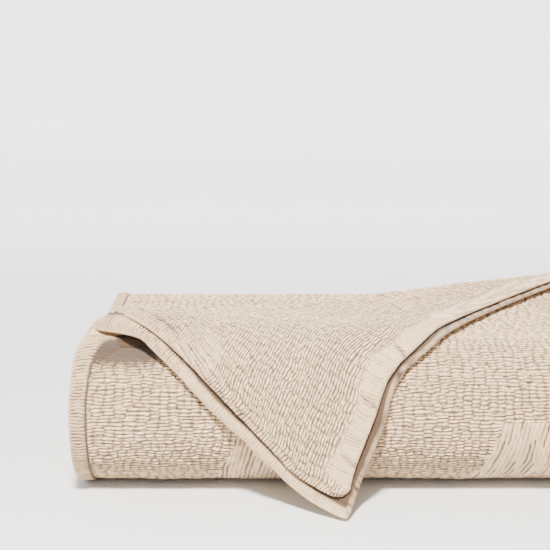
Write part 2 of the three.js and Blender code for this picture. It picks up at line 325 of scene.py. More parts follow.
def cloth_relief(x, s, smooth_patch, pitch=DASH_PITCH, depth=DASH_DEPTH):
    """Height of the weave in millimetres and its painted light, from 0 for painted shade in the creases to
    1.
    """
    body, strength = dashes(x, s, pitch)
    fold = pleats(x, s)
    # Painted light: shade painted into the creases between dashes and pleats
    light = np.where(smooth_patch > 0.5, fold, body)
    puff = 0.45 * noise(x / 15, s / 13, 21) + 0.8 * noise(x / 55, s / 40, 22)
    puff = puff + 0.9 * noise(x / 120, s / 90, 23)
    weave = np.where(smooth_patch > 0.5, 0.6 + 2.0 * fold, depth * body * strength)
    return weave + puff - 1.2, light


def hem_relief(inset, place, seed):
    """Height and painted light of a hem, by the distance from its edge and the place along it, with painted
    shade between its ribs and in the seam's groove.
    """
    place = place + 1.5 * noise(place / 13, inset / 9, seed) + 0.6 * noise(place / 5, inset / 4, seed + 4)
    v = place / RIB_PITCH
    f = v - np.floor(v)
    deep = 0.35 + 0.65 * hash01(np.floor(v), np.floor(inset / 7), seed + 1)
    rib = np.sin(math.pi * f) ** 1.4
    band = smooth(inset, 1.2, 3.4) * (1 - smooth(inset, HEM_WIDTH - 2.2, HEM_WIDTH - 0.8))
    groove = np.exp(-((inset - HEM_WIDTH) / 1.3) ** 2)
    # Painted shade between the ribs and in the seam's groove
    light = 0.565 - 0.55 * deep * (1 - rib) * (0.35 + 0.65 * band) - 0.5 * groove
    swell = 0.5 * line_noise(place / 17, seed + 2) + 0.35 * line_noise(place / 6, seed + 3)
    height = 1.7 * rib * deep * band - 1.2 * groove + swell * smooth(inset, 0, 3)
    return height, light


def weave_and_hem(x, run, inset, patch, seed):
    """Height and painted light of the cloth, woven inside and ribbed at its hems."""
    height, light = cloth_relief(x, run, patch)
    hem_height, hem_light = hem_relief(inset, run, seed)
    hem_height = hem_height + 0.9 * np.sin(math.pi * np.clip(inset / HEM_WIDTH, 0, 1))
    mix = smooth(inset, HEM_WIDTH, HEM_WIDTH + HEM_SEAM)
    return blend(height, hem_height, mix) * smooth(inset, 0, 4), blend(light, hem_light, mix)


def rounding(inset, size=THICK / 2):
    """Share of the half thickness near a rounded edge."""
    t = np.clip(inset / size, 0, 1)
    return np.maximum(np.sqrt(np.maximum(1 - (1 - t) ** 2, 0)), 0.06)


def half_thickness(inset, puff=0.16):
    """Half the cloth's thickness, rounded at its edge and puffed at its hem."""
    return THICK / 2 * rounding(inset) * (1 + puff * (inset < HEM_WIDTH) * smooth(inset, 0, 3))


def nearest(points, curve):
    """Distance from each flat place to a curve, and the length along the curve there."""
    flat = points.reshape(-1, 2)
    steps = lengths(curve)
    a, b = curve[:-1], curve[1:]
    ab = b - a
    size = (ab ** 2).sum(1)
    away = np.empty(len(flat))
    place = np.empty(len(flat))
    batch = 20000
    for k in range(0, len(flat), batch):
        p = flat[k:k + batch, None, :]
        t = np.clip(((p - a) * ab).sum(2) / size, 0, 1)
        gap = np.linalg.norm(p - a - t[..., None] * ab, axis=2)
        best = gap.argmin(1)
        row = np.arange(len(best))
        away[k:k + batch] = gap[row, best]
        place[k:k + batch] = steps[best] + t[row, best] * (steps[best + 1] - steps[best])
    return away.reshape(points.shape[:-1]), place.reshape(points.shape[:-1])


# Meshes
def grid_normals(p):
    """Normal of a grid of places at each of them."""
    dr = np.gradient(p, axis=0)
    dc = np.gradient(p, axis=1)
    n = np.cross(dc, dr)
    size = np.linalg.norm(n, axis=2, keepdims=True)
    return n / np.maximum(size, 1e-9)


def subset(positions, step, keep=()):
    """Indices of places about a step apart, with the ends and the kept ones."""
    picked = [0]
    for k in range(1, len(positions) - 1):
        if k in keep or positions[k] - positions[picked[-1]] >= step:
            picked.append(k)
    picked.append(len(positions) - 1)
    return np.array(picked)


def wall(fine, coarse, at):
    """Triangles between a dense edge and a coarse one that shares some of its places."""
    faces = []
    for k in range(len(coarse) - 1):
        i0, i1 = at[k], at[k + 1]
        middle = (i0 + i1) // 2
        for i in range(i0, i1):
            if i == middle:
                faces.append((fine[i], coarse[k], coarse[k + 1]))
                faces.append((fine[i + 1], fine[i], coarse[k + 1]))
            else:
                near = coarse[k] if i < middle else coarse[k + 1]
                faces.append((fine[i + 1], fine[i], near))
    return faces


def add_sheet(name, p, half, height, light, place, side, rows, cols, fine, hem=None):
    """Closed sheet: one dense side with its relief and one plain side of fewer rows and columns."""
    n = grid_normals(p)
    shape = p.shape[:2]
    top = p + side * n * (half + height)[..., None]
    low = (p - side * n * half[..., None])[np.ix_(rows, cols)]
    count = shape[0] * shape[1]
    ids = np.arange(count).reshape(shape)
    low_ids = count + np.arange(len(rows) * len(cols)).reshape(len(rows), len(cols))

    def quads(g):
        return np.stack([g[:-1, :-1], g[:-1, 1:], g[1:, 1:], g[1:, :-1]], -1).reshape(-1, 4)

    faces = quads(ids).tolist() + quads(low_ids)[:, ::-1].tolist()
    back_cols = (shape[1] - 1 - cols)[::-1]
    back_rows = (shape[0] - 1 - rows)[::-1]
    faces += wall(ids[0], low_ids[0], cols)
    faces += wall(ids[:, -1], low_ids[:, -1], rows)
    faces += wall(ids[-1, ::-1], low_ids[-1, ::-1], back_cols)
    faces += wall(ids[::-1, 0], low_ids[::-1, 0], back_rows)
    if side < 0:
        faces = [f[::-1] for f in faces]
    verts = np.concatenate([top.reshape(-1, 3), low.reshape(-1, 3)])
    verts = (verts - PLACE_SHIFT) * 0.001
    verts[:, 2] = np.maximum(verts[:, 2], 0.0)
    mesh = bpy.data.meshes.new(name)
    mesh.from_pydata(verts.tolist(), [], [tuple(int(v) for v in f) for f in faces])
    mesh.polygons.foreach_set("use_smooth", np.ones(len(mesh.polygons), bool))

    # The cloth's own place, painted light level and share of real relief, for the material
    vector = np.zeros((len(verts), 3))
    vector[:, :2] = np.concatenate([place.reshape(-1, 2), place[np.ix_(rows, cols)].reshape(-1, 2)])
    if hem is not None:
        vector[:, 2] = np.concatenate([hem.ravel(), hem[np.ix_(rows, cols)].ravel()])
    mesh.attributes.new("cloth_place", "FLOAT_VECTOR", "POINT").data.foreach_set("vector", vector.ravel())
    # Painted light: shade painted into creases, hems and hollows; the plain side gets an even level
    shade = np.concatenate([light.ravel(), np.full(low_ids.size, PLAIN_PAINTED_LIGHT)])
    mesh.attributes.new("cloth_painted_light", "FLOAT", "POINT").data.foreach_set("value", shade)
    detail = np.concatenate([np.full(count, fine), np.zeros(low_ids.size)])
    mesh.attributes.new("cloth_fine", "FLOAT", "POINT").data.foreach_set("value", detail)
    mesh.update()
    piece = bpy.data.objects.new(name, mesh)
    bpy.context.scene.collection.objects.link(piece)
    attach(piece, "root")
    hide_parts("coverlet")
    return piece


def across(layer, spacing, fine_to, rest):
    """Places across a layer, dense at both hems."""
    left, right = sides(layer)
    near = [left + h for h in HEM_STEPS]
    far = [right - h for h in reversed(HEM_STEPS)]
    fine_end = min(fine_to, far[0])
    steps = max(1, round((fine_end - near[-1]) / spacing))
    middle = list(np.linspace(near[-1], fine_end, steps + 1)[1:])
    if fine_end < far[0] - 1:
        steps = max(1, round((far[0] - fine_end) / rest))
        middle += list(np.linspace(fine_end, far[0], steps + 1)[1:])
    return np.array(near + middle[:-1] + far)


def front_columns():
    """Places across layer 1."""
    middle = [np.linspace(a, b, round((b - a) / step) + 1)[1:] for a, b, step in FRONT_COLUMNS]
    far = [WIDTH - h for h in reversed(HEM_STEPS)]
    return np.array(HEM_STEPS + list(np.concatenate(middle))[:-1] + far)


def few_columns(xs, layer, step):
    """Columns of a plain side, closer before the arch's end, with the same ones at its hems."""
    left, right = sides(layer)
    keep = {k for k, x in enumerate(xs)
            for h in KEPT_STEPS if abs(x - left - h) < 0.01 or abs(right - x - h) < 0.01}
    inset = xs - left
    spread = step / ARCH_STEP
    return subset(inset + (spread - 1) * np.minimum(inset, ARCH_END), step, keep)


def path_rows(layer, arc_step):
    """Places along the bottom and round the front of a layer, as the kind of place and its value."""
    r = radius(layer)
    rows = [("low", y) for y in np.arange(BOTTOM_END, MID + 1, -BOTTOM_STEP)]
    steps = max(6, round(math.pi * r / arc_step))
    top = math.pi / 2 - SHOULDER_RUN / r
    rows += [("turn", a) for a in np.linspace(-math.pi / 2, top, steps + 1)]
    return rows


def relaxed(flat, across_at, down_at):
    """Evens the grid near the rounded tip, where its two edges meet, so that it never overlaps."""
    part = flat[-RELAX_SPAN:, :RELAX_SPAN].copy()
    a, d = np.diff(across_at[:RELAX_SPAN]), np.diff(down_at[-RELAX_SPAN:])
    left, right = 2 / (a[:-1] * (a[:-1] + a[1:])), 2 / (a[1:] * (a[:-1] + a[1:]))
    over, under = 2 / (d[:-1] * (d[:-1] + d[1:])), 2 / (d[1:] * (d[:-1] + d[1:]))
    left, right = left[None, :, None], right[None, :, None]
    over, under = over[:, None, None], under[:, None, None]
    for _ in range(RELAX_ROUNDS):
        part[1:-1, 1:-1] = (left * part[1:-1, :-2] + right * part[1:-1, 2:] + over * part[:-2, 1:-1]
                            + under * part[2:, 1:-1]) / (left + right + over + under)
    flat = flat.copy()
    flat[-RELAX_SPAN:, :RELAX_SPAN] = part
    return flat


def arch_hem(run):
    """Place across of the inner side of the left hem."""
    t = np.array(ARCH_HEM, float)
    return np.interp(run, t[:, 0], t[:, 1])


def hollow(x, run, layer):
    """How far a front turn is pushed in below the arch of the turned-back corner."""
    early = 0 if layer == 1 else 14
    wall = smooth(x - arch_hem(run) + early, 0, 8 + early)
    fade = smooth(run, 0, 12) * (1 - smooth(run, 24, 86)) * (1 - smooth(x, 70, 124))
    return HOLLOW_DEPTH * (1 - (layer - 1) / 14) * wall * fade


def arch_painted_shade(x, run):
    """Share of the painted shade below the arch."""
    return smooth(x - arch_hem(run), -5, 3) * (1 - smooth(run, 32, 88)) * (1 - smooth(x, 84, ARCH_END))


def push_in(p, layers):
    """Pushes the places of the front turns in below the arch."""
    x, y, z = p[..., 0], p[..., 1], p[..., 2]
    out = np.hypot(MID - y, z - MID)
    turned = (y < MID) & (z > MID)
    run = (math.pi / 2 - np.arctan2(z - MID, MID - y)) * OUTER_R
    push = np.zeros_like(x)
    for layer in np.unique(layers):
        push = np.where(layers == layer, hollow(x, run, layer), push)
    share = np.where(turned, 1 - push / np.maximum(out, 20), 1.0)
    return np.stack([x, MID - (MID - y) * share, MID + (z - MID) * share], -1)


# Bottom run, front and top run of layers 1 and 2
def front_piece(name, layer, xs, arc_step, relief):
    """Bottom run and front turn of a layer, and also its top run where the piece has no real relief."""
    r = radius(layer)
    deep = (layer - 1) * PITCH
    places, runs = [], []
    for kind, value in path_rows(layer, arc_step):
        if kind == "low":
            p = np.stack([xs, np.full_like(xs, value), np.full_like(xs, MID - r)], -1)
            run = math.pi * r + value - MID
        else:
            y, z = MID - r * math.cos(value), MID + r * math.sin(value)
            p = np.stack([xs, np.full_like(xs, y), np.full_like(xs, z)], -1)
            run = (math.pi / 2 - value) * r
        places.append(p)
        runs.append(np.full_like(xs, run))
    if not relief:
        end = ridge_run(xs) + RIDGE_LEAD
        for t in np.linspace(0, 1, 15)[1:]:
            run = SHOULDER_RUN + (end - SHOULDER_RUN) * t
            places.append(drape(xs, run, -deep))
            runs.append(run)
    p = np.stack(places)
    p = settle(push_in(p, np.full(p.shape[:2], layer)))
    run = np.stack(runs)
    x = np.broadcast_to(xs, run.shape)
    left, right = sides(layer)
    inset = np.minimum(x - left, right - x)
    half = half_thickness(inset)
    if relief:
        height, light = cloth_relief(x, run, lozenge(x, run))
        band = np.where(x < 60, x * HEM_WIDTH / arch_hem(run), inset)
        hem_height, hem_light = hem_relief(band, run + 0.25 * x * smooth(90 - run, 0, 60), 31)
        round_up = np.sin(math.pi * np.clip(band / HEM_WIDTH, 0, 1))
        hem_height = hem_height + round_up * (0.9 + 1.6 * smooth(100 - run, 0, 60))
        hem_height = hem_height + ARCH_FILL * (1 - smooth(run, 24, 52)) * (1 - smooth(x, 24, 40))
        mix = smooth(band, HEM_WIDTH, HEM_WIDTH + HEM_SEAM)
        height = blend(height, hem_height, mix) * smooth(inset, 0, 4)
        light = blend(light, hem_light, mix)
        # Below the arch: painted shade in the colour, and the weave flattened
        shade = arch_painted_shade(x, run)
        height = height * (1 - 0.6 * shade)
        light = light * (1 - ARCH_PAINTED_SHADE * shade)
        rest_on = smooth(run, math.pi * r - 6, math.pi * r)
        height = height * (1 - rest_on)
    else:
        height, light = np.zeros_like(x), np.full_like(x, PLAIN_PAINTED_LIGHT)
    hem = None if relief else (inset < HEM_WIDTH + 0.5) * 1.0
    return add_sheet(name, p, half, height, light, np.stack([x, run], -1), 1, subset(lengths(p[:, 5]), 16),
                     few_columns(xs, layer, 40), 1.0 if relief else 0.0, hem)


def outer_top_piece():
    """Top run of layer 1, up to the ridge."""
    near = HEM_STEPS + list(np.linspace(HEM_STEPS[-1], 420, 56)[1:])
    far = [WIDTH - h for h in reversed(HEM_STEPS)]
    xs = np.array(near + list(np.linspace(420, far[0], 116)[1:-1]) + far)
    end = ridge_run(xs) + RIDGE_LEAD
    run = SHOULDER_RUN + (end - SHOULDER_RUN)[None] * np.linspace(0, 1, 200)[:, None]
    x = np.broadcast_to(xs, run.shape)
    p = settle(push_in(drape(x, run, 0 * run), np.full(run.shape, 1)))
    inset = np.minimum(x, WIDTH - x)
    height, light = weave_and_hem(x, run, inset, lozenge(x, run), 31)
    # Painted shade below the arch
    light = light * (1 - ARCH_PAINTED_SHADE * arch_painted_shade(x, run))
    height = (height + ARCH_FILL * (1 - smooth(x, 24, 40)) * smooth(inset, 0, 5)) * smooth(run - end, 0, 14)
    return add_sheet("outer_top", p, half_thickness(inset), height, light, np.stack([x, run], -1), 1,
                     subset(lengths(p[:, -30]), 14), few_columns(xs, 1, 30), 1.0)


# Turned-back corner of layers 1 and 2
def at_share(curve, share):
    """Places on a flat curve, at shares of its length."""
    steps = lengths(curve)
    place = share * steps[-1]
    return np.stack([np.interp(place, steps, curve[:, 0]), np.interp(place, steps, curve[:, 1])], -1)


def round_off(a, b, size):
    """Rounds the corner where curve a ends and curve b starts."""
    def cut(curve):
        return curve[np.linalg.norm(curve - curve[0], axis=1) > size]
    rest_a, rest_b = cut(a[::-1]), cut(b)
    t = np.linspace(0, 1, 41)[:, None]
    arc = (1 - t) ** 2 * rest_a[0] + 2 * t * (1 - t) * a[-1] + t ** 2 * rest_b[0]
    return np.concatenate([rest_a[::-1], arc[1:21]]), np.concatenate([arc[20:40], rest_b])


def corner_edges(kind, curl_end):
    """The corner's flat left and end edges beyond the curl, with a rounded tip between them."""
    start, stop = curl_end[0], curl_end[-1]
    tip = CORNER_TIP[kind]
    runs = np.linspace(start[1], tip, 240)
    left = np.stack([along(CORNER_LEFT[kind], runs), runs], -1)
    left[:, 0] += (start[0] - left[0, 0]) * (1 - smooth(runs, start[1], start[1] + 40))
    wobble = smooth(runs, 70, 120) * (1 - smooth(runs, tip - 30, tip))
    seed = EDGE_SEED[kind]
    left[:, 0] += wobble * (2.0 * line_noise(runs / 19, seed) + 0.9 * line_noise(runs / 8, seed + 1))
    left[-1, 0] = (left[-1, 0] + float(along(CORNER_RIGHT[kind], tip))) / 2
    runs = np.linspace(tip, stop[1] + 3.0, 300)
    end = np.stack([along(CORNER_RIGHT[kind], runs), runs], -1)
    end[0] = left[-1]
    return round_off(left, end, TIP_ROUND[kind])


def corner_grid(xs, v_rows, curl_end, left_edge, end_edge):
    """Flat places of the corner's body, blended between its four sides."""
    u = (xs - xs[0]) / (xs[-1] - xs[0])
    hem_v = [h / HEM_SPAN for h in HEM_STEPS[1:]]
    inner = np.linspace(0, 1 - hem_v[-1], v_rows)[1:]
    v = np.array(list(inner) + [1 - h for h in reversed(hem_v[:-1])] + [1.0])
    end_side = at_share(end_edge, u)
    left_side = at_share(left_edge, v)
    right_side = curl_end[-1] + (end_side[-1] - curl_end[-1]) * v[:, None]
    vv, uu = v[:, None, None], u[None, :, None]
    flat = ((1 - vv) * curl_end[None] + vv * end_side[None] + (1 - uu) * left_side[:, None]
            + uu * right_side[:, None]
            - ((1 - uu) * (1 - vv) * curl_end[0] + uu * (1 - vv) * curl_end[-1]
               + (1 - uu) * vv * end_side[0] + uu * vv * end_side[-1]))
    return relaxed(flat, u * BODY_WIDTH, v * BODY_LENGTH)


def corner_relief(kind, weave_x, weave_s, flat, start, tip, left_away, left_place, end_away, end_place):
    """Height and painted light of the corner's side that shows: weave, hems, puckers and folds."""
    fx, fr = flat[..., 0], flat[..., 1]
    height, light = cloth_relief(weave_x, weave_s, np.zeros_like(weave_x), CORNER_DASH_PITCH,
                                 CORNER_DASH_DEPTH)
    pleated, pleat_light = cloth_relief(weave_x, weave_s, np.ones_like(weave_x))
    patch = (np.abs(fx - CORNER_PATCH[0]) / CORNER_PATCH_HALF[0]
             + np.abs(fr - CORNER_PATCH[1]) / CORNER_PATCH_HALF[1])
    patch = 0.6 * (1 - smooth(patch, 0.8, 1.1))
    height = height * (1 - patch) + pleated * patch
    light = light * (1 - patch) + 0.9 * pleat_light * patch

    # Hem along the left edge, puffed to a roll
    left_height, left_light = hem_relief(left_away, left_place, 41)
    mix = smooth(left_away, HEM_WIDTH, HEM_WIDTH + HEM_SEAM)
    if kind == "upper":
        mix = np.maximum(mix, smooth(left_place, 85, 122))
    else:
        plain = smooth(line_noise(left_place / 42, 43), -0.25, 0.25)
        left_light = 0.6 + (left_light - 0.6) * (1 - 0.5 * plain)
        left_height = left_height * (1 - 0.45 * plain)
    height = blend(height, left_height, mix)
    light = blend(light, left_light, mix)
    roll = np.exp(-((left_away - 6.5) / 5.5) ** 2) * smooth(left_away, 0, 4)
    height = height + roll * (1.7 + 0.9 * line_noise(left_place / 14, 44))

    # Softer band along the end edge, with a few puckers that get painted shade
    zone = (1 - smooth(end_away + 9 * noise(end_place / 34, end_away / 40, 53), 20, 36)) * mix
    zone = zone * smooth(end_place, 0.5, 15)
    soft, soft_light = hem_relief(np.minimum(end_away, 10) + 3, end_place * 1.05, 51)
    soft = 0.75 * soft + 0.8 * noise(end_place / 30, end_away / 20, 52)
    for spot in PUCKER_SPOTS:
        pucker = np.exp(-((end_place - spot - 0.35 * end_away) / 3.2) ** 2)
        pucker = pucker * (1 - smooth(end_away, 16, 30))
        soft = soft - 1.5 * pucker
        soft_light = soft_light - 0.35 * pucker
    height = height * (1 - zone) + soft * zone
    light = light * (1 - zone) + (0.66 + 0.7 * (soft_light - 0.6)) * zone

    # Painted shade on the lower ply where it lies under the upper one
    if kind == "lower":
        light = light * (1 - 0.85 * smooth(left_away, 11, 17) * smooth(end_away, 4, 9))
        light = light * (1 - 0.42 * (1 - smooth(end_away, 18, 26)) * smooth(left_away, 10, 22))

    # Folds gathered where the corner leaves the ridge, with painted shade in their hollows, and a crumpled
    # tip
    apart = np.hypot(fx - start[0] - 10, fr - start[1])
    gather = np.exp(-((apart - 62) / 46) ** 2) * smooth(left_away, 6, 20)
    folds = np.sin((fr * 0.8 + fx * 0.25) / 3.6 + 2.2 * noise(fx / 30, fr / 26, 61))
    height = height + gather * (0.9 * folds + 0.7 * noise(fx / 18, fr / 11, 62))
    light = light - 0.08 * gather * (1 - folds) / 2
    crumple = np.exp(-(np.hypot(fx - tip[0], fr - tip[1]) / 30) ** 2)
    height = height + 1.4 * crumple * noise(fx / 6, fr / 8, 63)
    return np.clip(height, -2.2, 3.6), light


def corner_piece(name, layer, xs, v_rows, curl_rows):
    """One ply of the corner: over the ridge, turned back, and down over the front."""
    kind = "lower" if layer == 1 else "upper"
    deep = (layer - 1) * PITCH
    left, right = sides(layer)
    sin, cos = math.sin(RIDGE_ANGLE), math.cos(RIDGE_ANGLE)
    drifting = math.tan(RIDGE_ANGLE) * (1 - 0.85 * smooth(xs, 430, WIDTH))
    near = np.exp(-((xs / cos / CURL_REACH) ** 2))
    lift = CURL_LIFT + (CURL_LIFT_LEFT - CURL_LIFT) * near
    depth = CURL_DEPTH + (CURL_DEPTH_LEFT - CURL_DEPTH) * near + deep
    half_high = lift / 2 + deep
    length = math.pi * np.sqrt((depth ** 2 + half_high ** 2) / 2)
    run0 = ridge_run(xs)

    def sag_at(inset, apart):
        edge = np.maximum(0, 1 - inset / SAG_WIDTH)
        return SAG[kind] * edge * edge * np.exp(-((apart / SAG_REACH) ** 2))

    # The curl over the ridge
    places, flats = [], []
    for t in np.linspace(0, 1, curl_rows):
        c = -RIDGE_LEAD + (length + RIDGE_LEAD) * t
        turn = math.pi * np.maximum(c, 0) / length
        drift = length * drifting * turn / math.pi
        sag = sag_at(xs - left, 0) * smooth(turn, 0.3 * math.pi, 0.95 * math.pi)
        back = depth * np.sin(turn)
        px = xs + drift * cos - back * sin
        ps = run0 - drift * sin - back * cos
        curl = drape(px, ps, lift / 2 - half_high * np.cos(turn) - sag)
        before = drape(xs, run0 - c, -deep)
        places.append(np.where((c <= 0)[:, None], before, curl))
        flats.append(np.stack([xs + drift * cos, run0 - c], -1))
    curl_end = np.stack([xs + length * drifting * cos, run0 - length * drifting * sin], -1)
    start = curl_end[0]

    # The body beyond the curl
    left_edge, end_edge = corner_edges(kind, curl_end)
    flat = corner_grid(xs, v_rows, curl_end, left_edge, end_edge)

    def lift_at(x, run):
        apart = np.hypot(x - start[0], run - start[1])
        body = CURL_LIFT + (CURL_LIFT_LEFT - CURL_LIFT) * np.exp(-((apart / CURL_REACH) ** 2))
        inset = np.maximum(0, (x - along(CORNER_LEFT[kind], run)) / 1.42)
        return body + deep - sag_at(inset, apart)

    high = lift_at(flat[..., 0], flat[..., 1])
    missing = lift + deep - sag_at(xs - left, 0) - lift_at(curl_end[:, 0], curl_end[:, 1])
    from_ridge = np.linalg.norm(flat - curl_end[None], axis=2)
    high = high + missing[None] * (1 - smooth(from_ridge, 0, 50))
    p = settle(np.concatenate([np.stack(places), drape(flat[..., 0], flat[..., 1], high)]))

    # Distances from the hems and places along them, by the flat outline
    curl_flat = np.stack(flats)
    steps = length[None] * np.linspace(0, 1, curl_rows)[:, None]
    left_away, left_place = nearest(flat, left_edge)
    curl_left = np.broadcast_to(xs - left, steps.shape)
    left_away = np.concatenate([curl_left, left_away])
    left_place = np.concatenate([steps - steps[-1], left_place])
    end_away, end_place = nearest(flat, end_edge)
    ridge_away, ridge_place = nearest(curl_end[None], end_edge)
    curl_right = right - curl_flat[..., 0] + 400 * (xs < 600)
    curl_away = np.minimum(ridge_away + (steps[-1][None] - steps), curl_right)
    end_away = np.concatenate([curl_away, end_away])
    end_place = np.concatenate([np.broadcast_to(ridge_place, steps.shape), end_place])
    inset = np.minimum(left_away, end_away)

    # Relief of the side that shows, by the lengths along the columns
    hop = np.linalg.norm(np.diff(p, axis=0), axis=2)
    down = np.concatenate([np.zeros((1, len(xs))), np.cumsum(hop, axis=0)])
    weave_x, weave_s = np.broadcast_to(xs, down.shape), down - down[-1]
    height, light = corner_relief(kind, weave_x, weave_s, np.concatenate([curl_flat, flat]), start,
                                  left_edge[-1], left_away, left_place, end_away, end_place)
    height = height * smooth(inset, 0, 3)
    height[0] = 0
    path = lengths(p[:, xs.searchsorted(120)])
    keep = {len(path) - 1 - k for k in (2, 4, 9)}
    return add_sheet(name, p, THICK / 2 * rounding(inset, CORNER_EDGE_ROUND), height, light,
                     np.stack([weave_x, weave_s], -1), -1, subset(path, 9, keep),
                     few_columns(xs, layer, 30), 1.0)


# The rest of the strip: runs, front turns and rear turns
def front_turn(layer, arc_step):
    """Places of a layer round the front, up or down as the strip goes."""
    r = radius(layer)
    steps = max(6, round(math.pi * r / arc_step))
    turn = np.linspace(-math.pi / 2, math.pi / 2, steps + 1)
    if WALK.index(layer) % 2 == 0:
        turn = turn[::-1]
    return [(layer, MID - r * math.cos(a), MID + r * math.sin(a)) for a in turn]


def rear_link(layer, following, begin, stop, run_step):
    """Run to the rear from one front turn, the rear turn, and the run back to the next."""
    side = -1 if WALK.index(layer) % 2 == 0 else 1
    r, r2 = radius(layer), radius(following)
    half = abs(r - r2) / 2
    found = [t for t in REAR_TURNS if set(t[0]) == {layer, following}]
    reach = found[0][2] - THICK / 2 - 1.5 * PITCH if found else HALF_FOLD_REAR - half
    count = max(3, round((reach - MID) / run_step))
    rows = [(layer, y, MID + side * r) for y in np.linspace(begin, reach, count + 1)[1:]]
    steps = SHOWN_TURN_STEPS if run_step < 2 else TURN_STEPS
    if half < PITCH:
        steps = NARROW_TURN_STEPS
    centre = MID + side * (r + r2) / 2
    way = side * (1 if r > r2 else -1)
    for s in range(1, steps + 1):
        a = math.pi * s / steps
        rows.append((layer if s * 2 <= steps else following, reach + half * math.sin(a),
                     centre + way * half * math.cos(a)))
    rows += [(following, y, MID + side * r2) for y in np.linspace(reach, stop, count + 1)[1:]]
    return rows


def thread_piece(name, rows, spacing, relief, shown_side):
    """Stretch of the strip through a list of places, and its length."""
    base = across(rows[0][0], min(spacing, 8.0), ARCH_END, spacing)
    share = (base - base[0]) / (base[-1] - base[0])
    ends = np.array([LAYER_ENDS[r[0] - 1] for r in rows], float)
    ends = np.array([ends[max(0, k - 2):k + 3].mean(0) for k in range(len(rows))])
    x = ends[:, :1] + (WIDTH + ends[:, 1:] - ends[:, :1]) * share[None]
    y = np.array([r[1] for r in rows])[:, None] + 0 * x
    z = np.array([r[2] for r in rows])[:, None] + 0 * x
    numbers = np.array([r[0] for r in rows])[:, None] + 0 * x
    p = settle(push_in(np.stack([x, y, z], -1), numbers))
    path = lengths(p[:, 20])
    inset = np.minimum(base - base[0], base[-1] - base)[None] + 0 * x
    run = path[:, None] + 0 * x
    if relief:
        height, light = weave_and_hem(x, run, inset, lozenge(x, run), 33)
        ends_fade = smooth(path, 0, 12) * smooth(path[-1] - path, 0, 12)
        height = height * ends_fade[:, None]
        hem = None
        hem_cols = {k for k, h in enumerate(base - base[0]) if h in (1.0, 2.7, 19.0)}
        row_ids, col_ids = subset(path, 10), subset(base, 30, hem_cols)
    else:
        height, light = np.zeros_like(x), np.full_like(x, PLAIN_PAINTED_LIGHT)
        hem = (inset < HEM_WIDTH + 0.5) * 1.0
        row_ids, col_ids = np.arange(len(path)), np.arange(len(base))
    piece = add_sheet(name, p, half_thickness(inset, 0.1), height, light, np.stack([x, run], -1),
                      shown_side, row_ids, col_ids, 1.0 if relief else 0.0, hem)
    return piece, path[-1]


def walk_rows(layers, begin, arc_step, run_step):
    """Places along the strip, from the bottom run of the first layer to the front turn of the last."""
    rows = [(layers[0], begin, MID - radius(layers[0]))]
    for k, layer in enumerate(layers):
        if k > 0:
            rows += front_turn(layer, arc_step)
        if k < len(layers) - 1:
            rows += rear_link(layer, layers[k + 1], MID if k > 0 else begin, MID + 1.0, run_step)
    return rows


# Inner layers, from the bottom run of layer 1 to the rear end of layer 6, whose top run is coarse
top_link = rear_link(6, 3, MID, MID + 1.0, 1.8)
turn_at = min(k for k, r in enumerate(top_link) if r[0] == 6 and r[1] >= TURN_START)
inner_rows = walk_rows(WALK[:10], BOTTOM_END, 5.5, 22.0)
inner_rows += top_link[10:turn_at - 2:13] + [top_link[turn_at]]
inner, inner_length = thread_piece("inner_layers", inner_rows, 30.0, False, 1)

# The outer rear turn and the top run of layer 3
top_run, top_length = thread_piece("top_layer", top_link[turn_at:], 2.6, True, -1)

# Front turn of layer 3, its bottom run and the turn into layer 2
third_rows = front_turn(3, 6.0) + rear_link(3, 2, MID, BOTTOM_END + 1, 16.0)
third, third_length = thread_piece("third_layer", third_rows, 26.0, False, 1)

# Outer two layers, and their turned-back corner
outer_top = outer_top_piece()
outer = front_piece("outer_layer", 1, front_columns(), 1.3, True)
second = front_piece("second_layer", 2, across(2, 7.0, ARCH_END, 24.0), 5.0, False)
lower = corner_piece("corner_lower", 1, across(1, 3.0, 66.0, 10.0), 330, 34)
upper = corner_piece("corner_upper", 2, across(2, 2.3, 330.0, 4.0), 290, 34)


# Material
def node(tree, kind, **inputs):
    """New node with values for its sockets."""
    made = tree.nodes.new(kind)
    for key, value in inputs.items():
        made.inputs[key.replace("_", " ")].default_value = value
    return made


def math_node(tree, operation, a, b=None, c=None, clamp=False):
    """Result of an operation on values or other nodes' outputs."""
    made = tree.nodes.new("ShaderNodeMath")
    made.operation = operation
    made.use_clamp = clamp
    for socket, value in zip(made.inputs, (a, b, c)):
        if value is None:
            continue
        if isinstance(value, (int, float)):
            socket.default_value = value
        else:
            tree.links.new(value, socket)
    return made.outputs[0]


def attribute(tree, name, kind):
    """Output that reads one of the mesh's attributes."""
    made = tree.nodes.new("ShaderNodeAttribute")
    made.attribute_type = "GEOMETRY"
    made.attribute_name = name
    return made.outputs[kind]


def mix_color(tree, factor, a, b):
    """Colour between a, where the factor is 0, and b, where it is 1."""
    made = tree.nodes.new("ShaderNodeMix")
    made.data_type = "RGBA"
    for socket, value in ((made.inputs[0], factor), (made.inputs[6], a), (made.inputs[7], b)):
        if hasattr(value, "links"):
            tree.links.new(value, socket)
        else:
            socket.default_value = value
    return made.outputs[2]


def linear(r, g, b):
    """Colour for a socket, from screen values of 0 to 255."""
    def one(v):
        v = v / 255
        return v / 12.92 if v <= 0.04045 else ((v + 0.055) / 1.055) ** 2.4
    return (one(r), one(g), one(b), 1.0)


